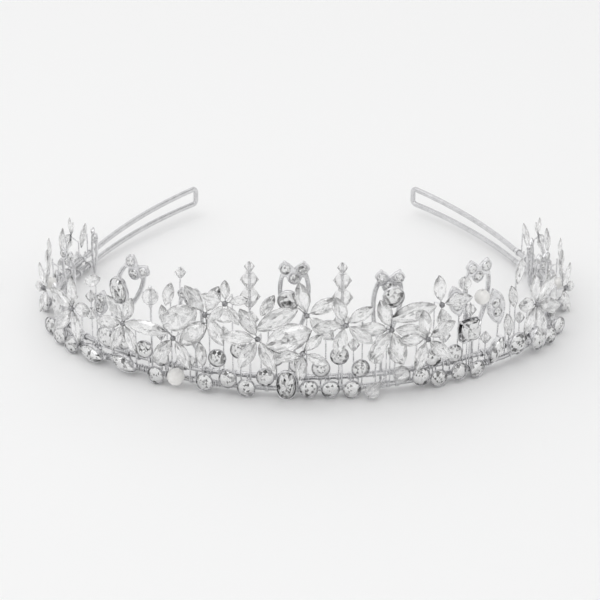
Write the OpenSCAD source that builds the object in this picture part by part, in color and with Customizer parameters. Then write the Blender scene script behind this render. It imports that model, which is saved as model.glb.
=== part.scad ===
// Bridal tiara: a hairpin-ended wire frame with wired-on crystal flowers, chatons, beads and cast
// arches. Millimetres, +Z up, X across the head, the front of the tiara towards -Y. Every piece of
// trim is placed by its distance s along the band from the front centre (positive to the right),
// its height z and how far it stands out from the band's centre line.

/* [Band] */
// Radius of the band's flat front
front_radius = 93; // [85:1:105]
// Half angle of the front arc, in degrees
front_angle = 37; // [35:1:39]
// Radius of the band over the temples
side_radius = 43; // [40:1:46]
// Angle of each temple arc, in degrees
side_angle = 75; // [70:1:78]
// Radius of the bare wire arms
arm_radius = 130; // [110:1:150]
// Length of trimmed wire behind each temple arc
tail_length = 13; // [12:0.5:14]
// Length of each bare wire arm
arm_length = 47; // [40:1:53]
// Distance from the origin to the front of the band
front_depth = 53.6; // [50:0.1:58]

/* [Wire] */
// Diameter of the frame wire
frame_wire = 1.6; // [1.4:0.1:1.7]
// Height of the lower rail's centre
lower_rail_z = 1.8; // [1.7:0.1:2]
// Height of the upper rail's centre
upper_rail_z = 5.4; // [5.2:0.1:5.6]
// Rise of the lower wire to the arm's end
lower_rise = 2.2; // [0:0.1:3]
// Rise of the upper wire to the arm's end
upper_rise = 3.8; // [3:0.1:5]
// Diameter of the stems that carry the flowers, cups and beads
stem_wire = 0.5; // [0.4:0.05:0.55]
// Diameter of the fine binding wire
binding_wire = 0.4; // [0.3:0.05:0.5]

/* [Crystals] */
// Diameter of the round crystals in the cups
chaton_d = 4.8; // [4.4:0.1:4.9]
// Length of a flower petal
petal_length = 9; // [8:0.1:9.4]
// Width of a flower petal
petal_width = 4.3; // [3.8:0.1:4.4]
// Thickness of a flower petal
petal_thick = 2.3; // [2:0.1:2.5]
// Radial clearance of a bead that turns on its stem
bead_clearance = 0.05; // [0.03:0.01:0.08]

/* [Castings] */
// Width of a cast arch across its lobes
arch_width = 9; // [8.6:0.1:9.4]
// Height of a cast arch
arch_height = 15; // [14:0.5:16]
// Thickness of the castings
cast_thick = 1.2; // [1.1:0.1:1.4]

/* [Hidden] */
$fn = 48;

wire_r = frame_wire / 2;
stem_r = stem_wire / 2;
spike_r = 0.3;
gap = 0.02;               // assembly gap between pieces that touch
joint_gap = 0.2;          // cut between a rail and the arm that springs from it
stem_out = 1.1;           // stems stand just in front of the rails
cup_back = 1.42;          // the cups' backs rest on the stems

// The band's plan: a flat front arc, a tighter arc over each temple, then the open arm arc.
front_len = front_radius * front_angle * PI / 180;
side_len = side_radius * side_angle * PI / 180;
band_len = front_len + side_len;
trim_len = band_len + tail_length;
tail_heading = front_angle + side_angle;
front_center = [0, front_radius - front_depth];
side_center = front_center + (front_radius - side_radius) * heading(front_angle);
arm_center = side_center - (arm_radius - side_radius) * heading(tail_heading);

function heading(angle) = [sin(angle), -cos(angle)];
function turn_at(d) =
    d <= front_len ? d / front_radius * 180 / PI
    : d <= band_len ? front_angle + (d - front_len) / side_radius * 180 / PI
    : tail_heading + (d - band_len) / arm_radius * 180 / PI;
function turn(s) = (s < 0 ? -1 : 1) * turn_at(abs(s));
function plan_right(d, out) =
    d <= front_len ? front_center + (front_radius + out) * heading(turn_at(d))
    : d <= band_len ? side_center + (side_radius + out) * heading(turn_at(d))
    : arm_center + (arm_radius + out) * heading(turn_at(d));
function plan(s, out) =
    let (p = plan_right(abs(s), out))
    [(s < 0 ? -1 : 1) * p[0], p[1]];
function spot(s, z, out) =
    let (p = plan(s, out))
    [p[0], p[1], z];

// Chatons in cups: [s, z, yaw, pitch]. Yaw turns the face towards +s, pitch turns it up.
lower_row = [
    [-41.4, 2.6, -6, 4], [-27, 3.3, -8, 6], [-20.8, 5, 0, 8], [-15.8, 2.9, 0, 4], [-10.6, 6.6, 0, 6],
    [0.9, 3.4, 4, 4], [6.6, 3.2, 6, 0], [12.4, 2.7, 4, 6],
    [31.8, 4.2, -4, 8], [36.9, 2.7, 0, 4], [42.8, 3.4, 6, 8], [48.6, 2.8, 8, 0]];
upper_row = [
    [-51, 10.8, -8, 12], [-45, 9.8, 6, 10], [-39.6, 8.6, -6, 10], [-23.6, 11.2, 0, 8],
    [-17.6, 14.6, 4, 6], [-7.8, 13, -6, 10], [-2, 10.9, 4, 12], [4.2, 9.6, 0, 10],
    [9.2, 13.4, -4, 8], [14.6, 9, 6, 10], [35, 9.6, -6, 10], [41.2, 9.2, 4, 14]];
left_side = [[-71.6, 2.6, 10, 4], [-77.6, 2.8, 14, 8], [-84.6, 2.6, 20, 4], [-98.4, 2.7, 28, 6],
    [-113.6, 2.6, 28, 4], [-120, 3.4, 30, 4], [-126.2, 2.8, 30, 8]];
right_side = [[77.6, 2.8, -14, 8], [84.6, 2.6, -20, 4], [98.4, 2.7, -28, 6], [113.6, 2.6, -28, 4],
    [120, 3.4, -30, 4], [126.2, 2.8, -30, 8]];

// Cast arches: [s, z of the foot, lean, size, yaw]; a pointed tail hangs below the foot.
front_arches = [[-32, 17.2, -6, 0.8, 0], [-3, 25, 0, 1, 0], [22.4, 21, 6, 1, 0]];
left_arches = [[-55, 21, 26, 1, 0], [-101, 6.8, -4, 0.75, 40],
    [-124, 6, 8, 0.64, 45]];
right_arches = [[50.6, 19, 4, 1, 0], [99, 6.8, 4, 0.75, -40],
    [114, 6.2, -6, 0.66, -40]];
// Cast leaves: [s, z of the foot, lean, length].
leaves = [[43.6, 20, -14, 10], [56.8, 14, -12, 12], [-61, 15, 12, 9], [-83.6, 8, -6, 8], [83.6, 8, -2, 8]];

// Flowers: [s, z, out, yaw, pitch, roll, petals, petal scale]. Flowers that cross stand in turn
// in a near, a middle and a far layer.
near = 4.1;
middle = 6.5;
far = 8.8;
center_flowers = [
    [-12, 20.4, middle, -4, 6, 30, 6, 1], [0.4, 27.4, 5.4, 0, 8, 12, 5, 1],
    [-0.6, 17.6, far, 0, 6, 30, 5, 0.75]];
spike_flower = [[10, 25.9, far, 0, 4, 90, 5, 0.9]];
left_flowers = [
    [-26.4, 25, near, 0, 8, 36, 6, 0.98], [-19.8, 31.6, far, 0, 6, 0, 5, 0.66], [-34.4, 17.6, middle, -4, 4, 0, 5, 0.95],
    [-49, 18.6, middle, -6, 8, 40, 6, 0.9]];
right_flowers = [
    [22.4, 21.6, 5.4, 0, 6, 20, 6, 1], [31, 19, far, 4, 8, 8, 5, 0.9],
    [36, 27, 5.4, 0, 6, 96, 4, 0.9]];
left_side_flowers = [
    [-69, 15.4, near, 0, 8, 0, 5, 1], [-91.4, 11, 3.4, 8, 6, 36, 5, 0.74],
    [-108, 10.6, 3.6, 12, 6, 36, 5, 0.7], [-122.6, 12, 3.6, 16, 6, 0, 5, 0.6]];
right_side_flowers = [
    [68.4, 17, near, 0, 6, 10, 6, 1], [91.4, 11, 3.4, -8, 6, 36, 5, 0.74],
    [108, 10.6, 3.6, -12, 6, 36, 5, 0.7], [122.6, 12, 3.6, -16, 6, 0, 5, 0.6]];

// Single petals wired on between the flowers: [s, z, roll].
singles = [[-127.6, 10.6, 24], [-115, 14.6, 10], [-100.4, 15, -14], [-62.6, 26, -60], [-38.9, 21, 14],
    [-37.6, 28.4, -14], [-28.4, 11.4, 8], [-10, 28.4, -30], [24.8, 11.4, 40], [59.8, 13, 10],
    [61.2, 21.4, 14], [63.2, 28.6, -12], [76.4, 19.8, -16], [100.4, 15, 14],
    [115, 14.6, -10], [127.6, 10.6, -24]];

// Large stones in settings: round [s, z, diameter], marquise and oval [s, z, width, height, roll].
large_rounds = [[-4.4, 30.8, 5.6], [23.4, 30.4, 5.8], [-57.4, 10.4, 5.8], [62.4, 6.8, 6.2], [70.8, 5, 6.4]];
marquises = [[-78.6, 12, 4.4, 9.6, 4], [78.8, 12.4, 4.4, 9.6, -4], [55.4, 6.6, 3.8, 8.4, -28],
    [-63.6, 2.9, 4.2, 9, 84], [-52.2, 3.4, 4, 8, 70]];
ovals = [[-5, 4.3, 5.2, 8, 0], [-53, 26, 4.8, 7.4, 14]];
cushion = [46.6, 15.2, 6.4];

// Beads: [s, z, out, diameter, s of the root, z of the root]. A wire runs straight from the root
// on the rails through the bead, so it sets the bead's axis.
spikes = [-15, 10];
spike_tip = [39.3, 3];
spike_upper = [35.4, 5.2];
spike_lower = [30.2, 6];
spike_base = [23.2, 5];
stem_bead = [-43.8, 25.6, 1.1, 4.8, -43.8, 3.4];
bicones = [
    [5.6, 20, 1.1, 4.6, 5.6, 3.4], [15.6, 19.6, 1.1, 4.8, 15.6, 3.4], [-22.4, 18.2, 1.1, 3.8, -22.4, 3.4],
    [33.4, 16.6, 1.1, 3.2, 33.4, 3.4], [39.2, 14.6, 1.1, 4, 39.2, 3.4],
    [-64.6, 20, 1.1, 3.4, -64.6, 3.4], [52.8, 10.6, 1.1, 3.4, 52.8, 3.4], [-74, 16, 1.1, 4, -74, 3.4],
    [-40.8, 14.6, 1.1, 3.2, -40.8, 3.4], [-32.2, 8, 1.1, 3.6, -32.2, 3.4],
    [13.2, 15.6, 1.1, 3.6, 13.2, 3.4], [47.4, 20.8, 1.1, 3.6, 47.4, 3.4],
    [-34.4, 35, 1.1, 3.2, -36.4, 3.4], [65.2, 13, 1.1, 3.2, 65.2, 3.4]];
rounds = [
    [26, 6.2, 3.8, 5.2, 26, 4.4], [39.2, 19.4, 1.1, 4.4, 39.2, 3.4],
    [-64.6, 14.6, 1.1, 3.4, -64.6, 3.4], [19.4, 11.6, 1.1, 4.6, 19.4, 3.4],
    [73.8, 10.2, 1.1, 4.4, 73.8, 3.4], [112.4, 8.2, 1.1, 3.8, 112.4, 3.4],
    [-112.4, 8.2, 1.1, 3.8, -112.4, 3.4], [45.3, 29.4, 1.1, 3.8, 45.3, 3.4]];
pearl_spots = [[-35.2, 4, 4.1, 5, -35.2, 3.6], [50.4, 24.4, 2.2, 4.4, 50.4, 3.4],
    [98.2, 8.8, 1.7, 3.6, 98.2, 7], [-98.2, 8.8, 1.7, 3.6, -98.2, 7]];
drop = [19, 2.9, 3.6, 4.2, 22, 4.2];

module on_band(s, z, out) {
    translate(spot(s, z, out)) rotate([0, 0, turn(s)]) children();
}
// Faces a child's +Z outward from the band and its +Y up.
module facing(s, z, out, yaw = 0, pitch = 0, roll = 0) {
    on_band(s, z, out) rotate([0, 0, yaw]) rotate([90 - pitch, 0, 0]) rotate([0, 0, roll]) children();
}
// Stands a child's +Z along the line from p to q, with its origin at p.
module aim(p, q) {
    run = q - p;
    translate(p) rotate([0, acos(run[2] / norm(run)), atan2(run[1], run[0])]) children();
}
module strut(p, q, r) {
    aim(p, q) cylinder(h = norm(q - p), r = r);
}
module upright(s, from, to, out, r) {
    translate(spot(s, from, out)) cylinder(h = to - from, r = r);
}

// Frame wire

weld_length = 0.6;
module arc_wire(center, radius, from, sweep, z) {
    translate([center[0], center[1], z]) rotate([0, 0, from])
        rotate_extrude(angle = sweep, $fn = 360) translate([radius, 0]) circle(wire_r, $fn = 48);
}
// A thin collar along X where two lengths of frame wire run into each other.
module weld() {
    rotate([0, 90, 0]) cylinder(h = weld_length, r = wire_r + gap, center = true);
}
module rail(z) {
    tail_sweep = (tail_length - joint_gap) / arm_radius * 180 / PI;
    color("silver") {
        arc_wire(front_center, front_radius, -90 - front_angle, 2 * front_angle, z);
        arc_wire(side_center, side_radius, front_angle - 90, side_angle, z);
        arc_wire([-side_center[0], side_center[1]], side_radius, 270 - tail_heading, side_angle, z);
        arc_wire(arm_center, arm_radius, tail_heading - 90, tail_sweep, z);
        arc_wire([-arm_center[0], arm_center[1]], arm_radius, 270 - tail_heading - tail_sweep, tail_sweep, z);
        for (s = [front_len, band_len], side = [-1, 1]) on_band(side * s, z, 0) weld();
    }
}
module upper_rail() { rail(upper_rail_z); }
module lower_rail() { rail(lower_rail_z); }

arm_sweep = arm_length / arm_radius * 180 / PI;
arm_reach = arm_radius * sin(arm_sweep);
corner_r = 1.3;
module arm_strand(side, z, rise) {
    translate([0, 0, z]) rotate([0, -atan2(rise, arm_reach), 0])
        arc_wire([0, side * arm_radius], arm_radius, side > 0 ? -90 : 90 - arm_sweep, arm_sweep, 0);
}
module corner_bend(z, from) {
    translate([0, 0, z]) rotate([90, 0, 0]) rotate([0, 0, from])
        rotate_extrude(angle = 90) translate([corner_r, 0]) circle(wire_r);
    joint_z = from == 0 ? z + corner_r : z - corner_r;
    translate([0, 0, joint_z]) sphere(wire_r + gap);
}
// An arm: two strands that spread apart, joined by a square-shouldered hairpin bend. It is the
// right one with side = 1 and the left one with side = -1.
module hairpin_arm(side) {
    start = plan(side * trim_len, 0);
    low = lower_rail_z + lower_rise;
    high = upper_rail_z + upper_rise;
    color("silver") translate(start) rotate([0, 0, 90 + side * (turn_at(trim_len) - 90)]) {
        arm_strand(side, lower_rail_z, lower_rise);
        arm_strand(side, upper_rail_z, upper_rise);
        translate([arm_reach, side * arm_radius * (1 - cos(arm_sweep)), 0]) rotate([0, 0, side * arm_sweep]) {
            corner_bend(low + corner_r, -90);
            corner_bend(high - corner_r, 0);
            translate([corner_r, 0, low + corner_r]) cylinder(h = high - low - 2 * corner_r, r = wire_r);
        }
    }
}
module right_arm() { hairpin_arm(1); }
module left_arm() { hairpin_arm(-1); }

coil_spots = [-104.4, -89, -74.4, -61.4, -47.5, -23.8, 34.4, 53.15, 74.2, 89, 104.4];
coil_turns = 5;
coil_pitch = 0.85;
coil_r = wire_r + gap + binding_wire / 2;
module binding_coils() {
    color("gainsboro")
    for (s = coil_spots, i = [0 : coil_turns - 1])
        on_band(s + (i - (coil_turns - 1) / 2) * coil_pitch, lower_rail_z, 0) rotate([0, 90, 0])
            rotate_extrude() translate([coil_r, 0]) circle(binding_wire / 2, $fn = 24);
}

// Round crystals in cups. Both stand on z = 0 and face +Z.

chaton_r = chaton_d / 2;
cup_r = chaton_r + 0.25;
cup_base_r = 1.3;
seat_z = 1.7;
module cup() {
    color("silver") rotate_extrude()
        polygon([[0, 0], [cup_base_r, 0], [cup_r, seat_z - 0.2], [cup_r, seat_z + 0.6],
            [chaton_r + gap, seat_z + 0.6], [chaton_r + gap, seat_z - gap], [0, 0.3]]);
}
module chaton() {
    color("aliceblue") rotate_extrude()
        polygon([[0, 0.4], [chaton_r, seat_z], [chaton_r, seat_z + 0.2], [chaton_r * 0.56, seat_z + 1],
            [0, seat_z + 1]]);
}
// A tilted cup stands out a little further, so that its base stays clear of the stem.
function cup_out(c) = cup_back + cup_base_r * (sin(abs(c[2])) + sin(abs(c[3])));
module each_cup(row) {
    for (c = row) facing(c[0], c[1], cup_out(c), c[2], c[3]) children();
}
module lower_row_cups() { each_cup(lower_row) cup(); }
module lower_row_stones() { each_cup(lower_row) chaton(); }
module upper_row_cups() { each_cup(upper_row) cup(); }
module upper_row_stones() { each_cup(upper_row) chaton(); }
module left_side_cups() { each_cup(left_side) cup(); }
module left_side_stones() { each_cup(left_side) chaton(); }
module right_side_cups() { each_cup(right_side) cup(); }
module right_side_stones() { each_cup(right_side) chaton(); }

// Stems behind the cups: a low cup's stem crosses both rails, a high one's starts between them.
low_cup_z = 7.5;
stem_foot = 3.4;
module cup_stem(s, z) {
    if (z < low_cup_z) upright(s, lower_rail_z - wire_r, upper_rail_z + wire_r, stem_out, stem_r);
    else upright(s, stem_foot, z + 1, stem_out, stem_r);
}
module cup_stems() {
    color("gainsboro") {
        for (c = concat(lower_row, upper_row, left_side, right_side)) cup_stem(c[0], c[1]);
        for (c = concat(large_rounds, marquises, ovals, [cushion])) cup_stem(c[0], c[1]);
    }
}

// Large stones and their settings

tray_wall = 0.3;
tray_floor = 0.5;
tray_depth = 1.2;
// A lens of two arcs, length along Y.
module lens(width, length) {
    r = (width * width + length * length) / (4 * width);
    intersection() {
        translate([r - width / 2, 0]) circle(r, $fn = 96);
        translate([width / 2 - r, 0]) circle(r, $fn = 96);
    }
}
module lozenge(width, length) {
    for (end = [-1, 1]) translate([0, end * (length - width) / 2]) circle(width / 2);
    square([width, length - width], center = true);
}
// A pointed crystal, centred, cut from the lens outline by an upper and a lower curved face.
module navette(width, length, thick) {
    intersection() {
        translate([0, 0, -thick]) linear_extrude(2 * thick) lens(width, length);
        rotate([0, 90, 0]) translate([0, 0, -width]) linear_extrude(2 * width) lens(thick, length * 1.02);
    }
}
module tray() {
    difference() {
        linear_extrude(tray_depth) children(0);
        translate([0, 0, tray_floor]) linear_extrude(tray_depth) children(1);
    }
}
module large_stone_settings() {
    color("silver") {
        for (c = large_rounds) facing(c[0], c[1], cup_back) scale(c[2] / chaton_d) cup();
        for (c = marquises) facing(c[0], c[1], cup_back, 0, 0, c[4])
            tray() {
                lens(c[2] + 2 * tray_wall, c[3] + 4 * tray_wall);
                lens(c[2] + 2 * gap, c[3] + 4 * gap);
            }
        for (c = ovals) facing(c[0], c[1], cup_back, 0, 0, c[4])
            tray() {
                lozenge(c[2] + 2 * tray_wall, c[3] + 2 * tray_wall);
                lozenge(c[2] + 2 * gap, c[3] + 2 * gap);
            }
        facing(cushion[0], cushion[1], cup_back) prong_setting(cushion[2]);
    }
}
module large_round_stones() {
    for (c = large_rounds) facing(c[0], c[1], cup_back) scale(c[2] / chaton_d) chaton();
}
large_thick = 2.6;
module large_oval_stones() {
    color("aliceblue") {
        for (c = marquises) facing(c[0], c[1], cup_back + tray_floor + gap + large_thick / 2, 0, 0, c[4])
            navette(c[2], c[3], large_thick);
        for (c = ovals) facing(c[0], c[1], cup_back + tray_floor + gap, 0, 0, c[4])
            intersection() {
                linear_extrude(large_thick) lozenge(c[2], c[3]);
                rotate([90, 0, 0]) translate([0, 0, -c[3]]) linear_extrude(2 * c[3])
                    lens_cap(c[2], large_thick);
            }
    }
}
// A flat-based dome section, base on y = 0, that ends in a short vertical side.
module lens_cap(width, height) {
    side = 1;
    rise = height - side;
    r = (rise * rise + width * width / 4) / (2 * rise);
    translate([-width / 2, 0]) square([width, side]);
    intersection() {
        translate([0, height - r]) circle(r, $fn = 96);
        translate([-width / 2, side]) square([width, rise]);
    }
}
prong_r = 0.4;
plate_thick = 0.7;
module prong_setting(size) {
    translate([-size / 2, -size / 2, 0]) cube([size, size, plate_thick]);
    for (x = [-1, 1], y = [-1, 1])
        translate([x * (size / 2 - prong_r), y * (size / 2 - prong_r), 0]) cylinder(h = 3, r = prong_r);
}
// Square crystal with clipped corners that clear the prongs.
module cushion_stone() {
    size = cushion[2];
    clip = 4 * prong_r;
    h = size / 2 - gap;
    color("aliceblue") facing(cushion[0], cushion[1], cup_back + plate_thick + gap)
        linear_extrude(2.2)
            polygon([[-h + clip, -h], [h - clip, -h], [h, -h + clip], [h, h - clip],
                [h - clip, h], [-h + clip, h], [-h, h - clip], [-h, -h + clip]]);
}

// Cast arches with three crystals, and cast leaves with a row of crystals

cast_out = -0.9 - cast_thick / 2;
cast_stem_r = 0.45;
lobe_r = arch_width / 4 - 0.15;
lobe_x = arch_width / 2 - lobe_r;
lobe_y = arch_height - lobe_r;
low_stone_y = lobe_y - 2.7;
seat_depth = 0.6;
pave_r = 1.35;
arch_stone_spots = [[-lobe_x, lobe_y], [lobe_x, lobe_y], [0, low_stone_y]];
arch_wall = 1.25;
arch_waist = arch_height * 0.45;
upper_arc_r = 14;
lower_arc_r = 30;
// How far the pointed tail hangs below the foot.
arch_tail = sqrt(pow(lower_arc_r, 2) - pow(lower_arc_r - arch_width / 2, 2)) - arch_waist;
// The part of a lens of two arcs that lies between y = from and y = to.
module lens_band(half_width, r, from, to) {
    intersection() {
        translate([r - half_width, arch_waist]) circle(r, $fn = 96);
        translate([half_width - r, arch_waist]) circle(r, $fn = 96);
        translate([-half_width - 1, from]) square([2 * half_width + 2, to - from]);
    }
}
module ogive(half_width) {
    lens_band(half_width, upper_arc_r, arch_waist, lobe_y);
    lens_band(half_width, lower_arc_r, -lower_arc_r, arch_waist);
}
module pave_seat() {
    translate([0, 0, cast_thick / 2 - seat_depth]) cylinder(h = cast_thick, r = pave_r + 0.05);
}
module pave_stone() {
    translate([0, 0, cast_thick / 2 - seat_depth + gap]) rotate_extrude()
        polygon([[0, 0], [pave_r, 0], [pave_r, seat_depth], [pave_r * 0.55, seat_depth + 0.45],
            [0, seat_depth + 0.45]]);
}
module arch_casting() {
    difference() {
        translate([0, 0, -cast_thick / 2]) linear_extrude(cast_thick) {
            difference() {
                ogive(arch_width / 2);
                ogive(arch_width / 2 - arch_wall);
            }
            for (c = arch_stone_spots) translate(c) circle(lobe_r * 0.98);
        }
        for (c = arch_stone_spots) translate([c[0], c[1], 0]) pave_seat();
    }
}
// A turned casting stands further back, so that it stays clear of the rails.
function arch_out(a) = cast_out - a[3] * arch_width / 2 * sin(abs(a[4]));
module each_arch(list) {
    for (a = list) facing(a[0], a[1], arch_out(a), a[4], 0, -a[2]) scale(a[3]) children();
}
// Each casting's tail is joined to a stem behind both rails, a turned one's by a peg.
cast_stem_out = -0.85 - cast_stem_r;
peg_r = 0.33;
tail_grip = 1.5;
module cast_stems(list) {
    for (a = list) {
        s = a[0] - a[3] * arch_tail * sin(a[2]) * cos(a[4]);
        grip_z = a[1] - a[3] * arch_tail * cos(a[2]) + tail_grip;
        upright(s, lower_rail_z - wire_r, max(grip_z, upper_rail_z + wire_r), cast_stem_out, cast_stem_r);
        if (a[4] != 0) strut(spot(s, grip_z, cast_stem_out), spot(s, grip_z, arch_out(a)), peg_r);
    }
}
module arches(list) {
    color("silver") {
        each_arch(list) arch_casting();
        cast_stems(list);
    }
}
module arch_castings_front() { arches(front_arches); }
module arch_castings_left() { arches(left_arches); }
module arch_castings_right() { arches(right_arches); }
module arch_stones() {
    color("aliceblue")
    each_arch(concat(front_arches, left_arches, right_arches))
        for (c = arch_stone_spots) translate([c[0], c[1], 0]) pave_stone();
}
leaf_slenderness = 0.5;
leaf_pitch = 3;
leaf_out = stem_out + cast_thick / 2;
function leaf_stones_at(length) = [for (y = [0.36 * length : leaf_pitch : length - 2.6]) y];
module each_leaf() {
    for (f = leaves) facing(f[0], f[1], leaf_out, 0, 0, -f[2]) {
        $length = f[3];
        children();
    }
}
module leaf_castings() {
    color("silver") {
        each_leaf() difference() {
            translate([0, $length / 2, -cast_thick / 2]) linear_extrude(cast_thick)
                lens($length * leaf_slenderness, $length);
            for (y = leaf_stones_at($length)) translate([0, y, 0]) pave_seat();
        }
        for (f = leaves) upright(f[0], stem_foot, f[1] + 1, stem_out, stem_r);
    }
}
module leaf_stones() {
    color("aliceblue") each_leaf()
        for (y = leaf_stones_at($length)) translate([0, y, 0]) pave_stone();
}

// Flowers: pointed crystals wired round a small metal bead, in planes that face outward

petal_dish = 8;
petal_start = 1.1;
center_r = 0.85;
module each_flower(list) {
    for (f = list) facing(f[0], f[1], f[2], f[3], f[4], f[5]) {
        $count = f[6];
        $size = f[7];
        children();
    }
}
module petals(list) {
    color("ghostwhite") each_flower(list)
        for (i = [0 : $count - 1])
            rotate([0, 0, 360 * i / $count]) rotate([petal_dish, 0, 0])
                translate([0, petal_start + $size * petal_length / 2, 0])
                    scale($size) navette(petal_width, petal_length, petal_thick);
}
module petals_center() { petals(concat(center_flowers, spike_flower)); }
module petals_left() { petals(left_flowers); }
module petals_right() { petals(right_flowers); }
module petals_left_side() { petals(left_side_flowers); }
module petals_right_side() { petals(right_side_flowers); }
single_width = 3.4;
single_length = 7.6;
single_thick = 2;
module single_petals() {
    color("ghostwhite") for (p = singles)
        facing(p[0], p[1], stem_out + stem_r + gap + single_thick / 2, 0, 0, p[2])
            navette(single_width, single_length, single_thick);
}
stem_flowers = concat(center_flowers, left_flowers, right_flowers, left_side_flowers, right_side_flowers);
module flower_centers() {
    color("dimgray") each_flower(concat(stem_flowers, spike_flower)) translate([0, 0, 0.6]) sphere(center_r);
}
module flower_stems() {
    color("gainsboro") {
        for (f = stem_flowers) {
            upright(f[0], stem_foot, f[1], stem_out, stem_r);
            translate(spot(f[0], f[1], stem_out)) sphere(stem_r + gap);
            strut(spot(f[0], f[1], stem_out), spot(f[0], f[1], f[2] - 0.4), stem_r);
        }
        for (p = singles) upright(p[0], stem_foot, p[1] + 0.8, stem_out, stem_r);
        for (f = spike_flower)
            strut(spot(f[0], f[1], stem_out + spike_r + gap), spot(f[0], f[1], f[2] - 0.4), stem_r);
    }
}

// Beads

module bicone(d, bore) {
    half = 0.45 * d;
    rotate_extrude() polygon([[bore, -half], [0.2 * d, -half], [d / 2, 0], [0.2 * d, half], [bore, half]]);
}
module round_bead(d, bore) {
    difference() {
        sphere(d / 2);
        translate([0, 0, -d]) cylinder(h = 2 * d, r = bore);
    }
}
module drop_shape(d, bore) {
    difference() {
        rotate_extrude()
            polygon([[0, -0.5 * d], [0.3 * d, -0.42 * d], [d / 2, 0], [0.12 * d, 0.9 * d], [0, 0.9 * d]]);
        translate([0, 0, -d]) cylinder(h = 3 * d, r = bore);
    }
}
// Threads a child on the wire of each listed bead; the child is centred on the bead.
module each_bead(list) {
    for (b = list) {
        root = spot(b[4], b[5], stem_out);
        middle = spot(b[0], b[1], b[2]);
        $d = b[3];
        aim(root, middle) translate([0, 0, norm(middle - root)]) children();
    }
}
module bead_wire(list) {
    for (b = list) {
        root = spot(b[4], b[5], stem_out);
        middle = spot(b[0], b[1], b[2]);
        reach = norm(middle - root);
        if (reach > 0.1) aim(root, middle) cylinder(h = reach + 0.6 * b[3], r = stem_r);
    }
}
bead_bore = stem_r + gap;
turning_bore = spike_r + bead_clearance;
module bead_stems() {
    color("gainsboro") bead_wire(concat(bicones, rounds, pearl_spots, [drop]));
}
module bicone_beads() { color("lavender") each_bead(bicones) bicone($d, bead_bore); }
module round_beads() { color("lavender") each_bead(rounds) round_bead($d, bead_bore); }
module pearls() { color("floralwhite") each_bead(pearl_spots) round_bead($d, bead_bore); }
module drop_bead() { color("lavender") each_bead([drop]) drop_shape($d, bead_bore); }

// Spikes: upright wires, each with a fixed base bead and two crystals that turn between a stop
// ball and a fixed tip bead. A shorter stem holds one round bead between two stop balls.
stop_r = 0.55;
stop_gap = 0.1;
function stop_below(bead) = bead[0] - 0.45 * bead[1] - stop_gap - stop_r;
module stop_ball(s, z) {
    translate(spot(s, z, stem_out)) sphere(stop_r);
}
module spike_stems() {
    stop_reach = stem_bead[3] / 2 + stop_gap + stop_r - 0.1;
    color("gainsboro") {
        for (s = spikes) {
            upright(s, stem_foot, spike_tip[0] + 0.3 * spike_tip[1], stem_out, spike_r);
            stop_ball(s, stop_below(spike_lower));
        }
        upright(stem_bead[0], stem_foot, stem_bead[1] + stop_reach, stem_out, spike_r);
        for (side = [-1, 1]) stop_ball(stem_bead[0], stem_bead[1] + side * stop_reach);
    }
}
module spike_tip_beads() {
    color("lavender") for (s = spikes)
        translate(spot(s, spike_tip[0], stem_out)) difference() {
            bicone(spike_tip[1], 0);
            translate([0, 0, -spike_tip[1]]) cylinder(h = 1.3 * spike_tip[1] + gap, r = spike_r + gap);
        }
}
module spike_base_beads() {
    color("lavender") for (s = spikes)
        translate(spot(s, spike_base[0], stem_out)) bicone(spike_base[1], spike_r + gap);
}
module turning_bead(s, bead) {
    color("lavender") translate(spot(s, bead[0], stem_out)) bicone(bead[1], turning_bore);
}
module left_spike_upper_bead() { turning_bead(spikes[0], spike_upper); }
module left_spike_lower_bead() { turning_bead(spikes[0], spike_lower); }
module right_spike_upper_bead() { turning_bead(spikes[1], spike_upper); }
module right_spike_lower_bead() { turning_bead(spikes[1], spike_lower); }
module left_stem_bead() {
    color("lavender") translate(spot(stem_bead[0], stem_bead[1], stem_out))
        round_bead(stem_bead[3], turning_bore);
}

upper_rail();
lower_rail();
left_arm();
right_arm();
binding_coils();
arch_castings_front();
arch_castings_left();
arch_castings_right();
arch_stones();
leaf_castings();
leaf_stones();
lower_row_cups();
lower_row_stones();
upper_row_cups();
upper_row_stones();
left_side_cups();
left_side_stones();
right_side_cups();
right_side_stones();
cup_stems();
large_stone_settings();
large_round_stones();
large_oval_stones();
cushion_stone();
petals_center();
petals_left();
petals_right();
petals_left_side();
petals_right_side();
single_petals();
flower_centers();
flower_stems();
spike_stems();
spike_tip_beads();
spike_base_beads();
left_spike_upper_bead();
left_spike_lower_bead();
right_spike_upper_bead();
right_spike_lower_bead();
left_stem_bead();
bead_stems();
bicone_beads();
round_beads();
pearls();
drop_bead();
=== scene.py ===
"""Bridal tiara: detailed crystals, settings, castings and wire built over the CAD model's solids.

Every piece takes its place, direction and size from the CAD solid that it stands for. Metres, in the
CAD's own frame: X across the head, the front of the tiara towards -Y, Z up.
"""

import math
from random import Random

import bpy
import numpy as np
from mathutils import Matrix, Vector


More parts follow.
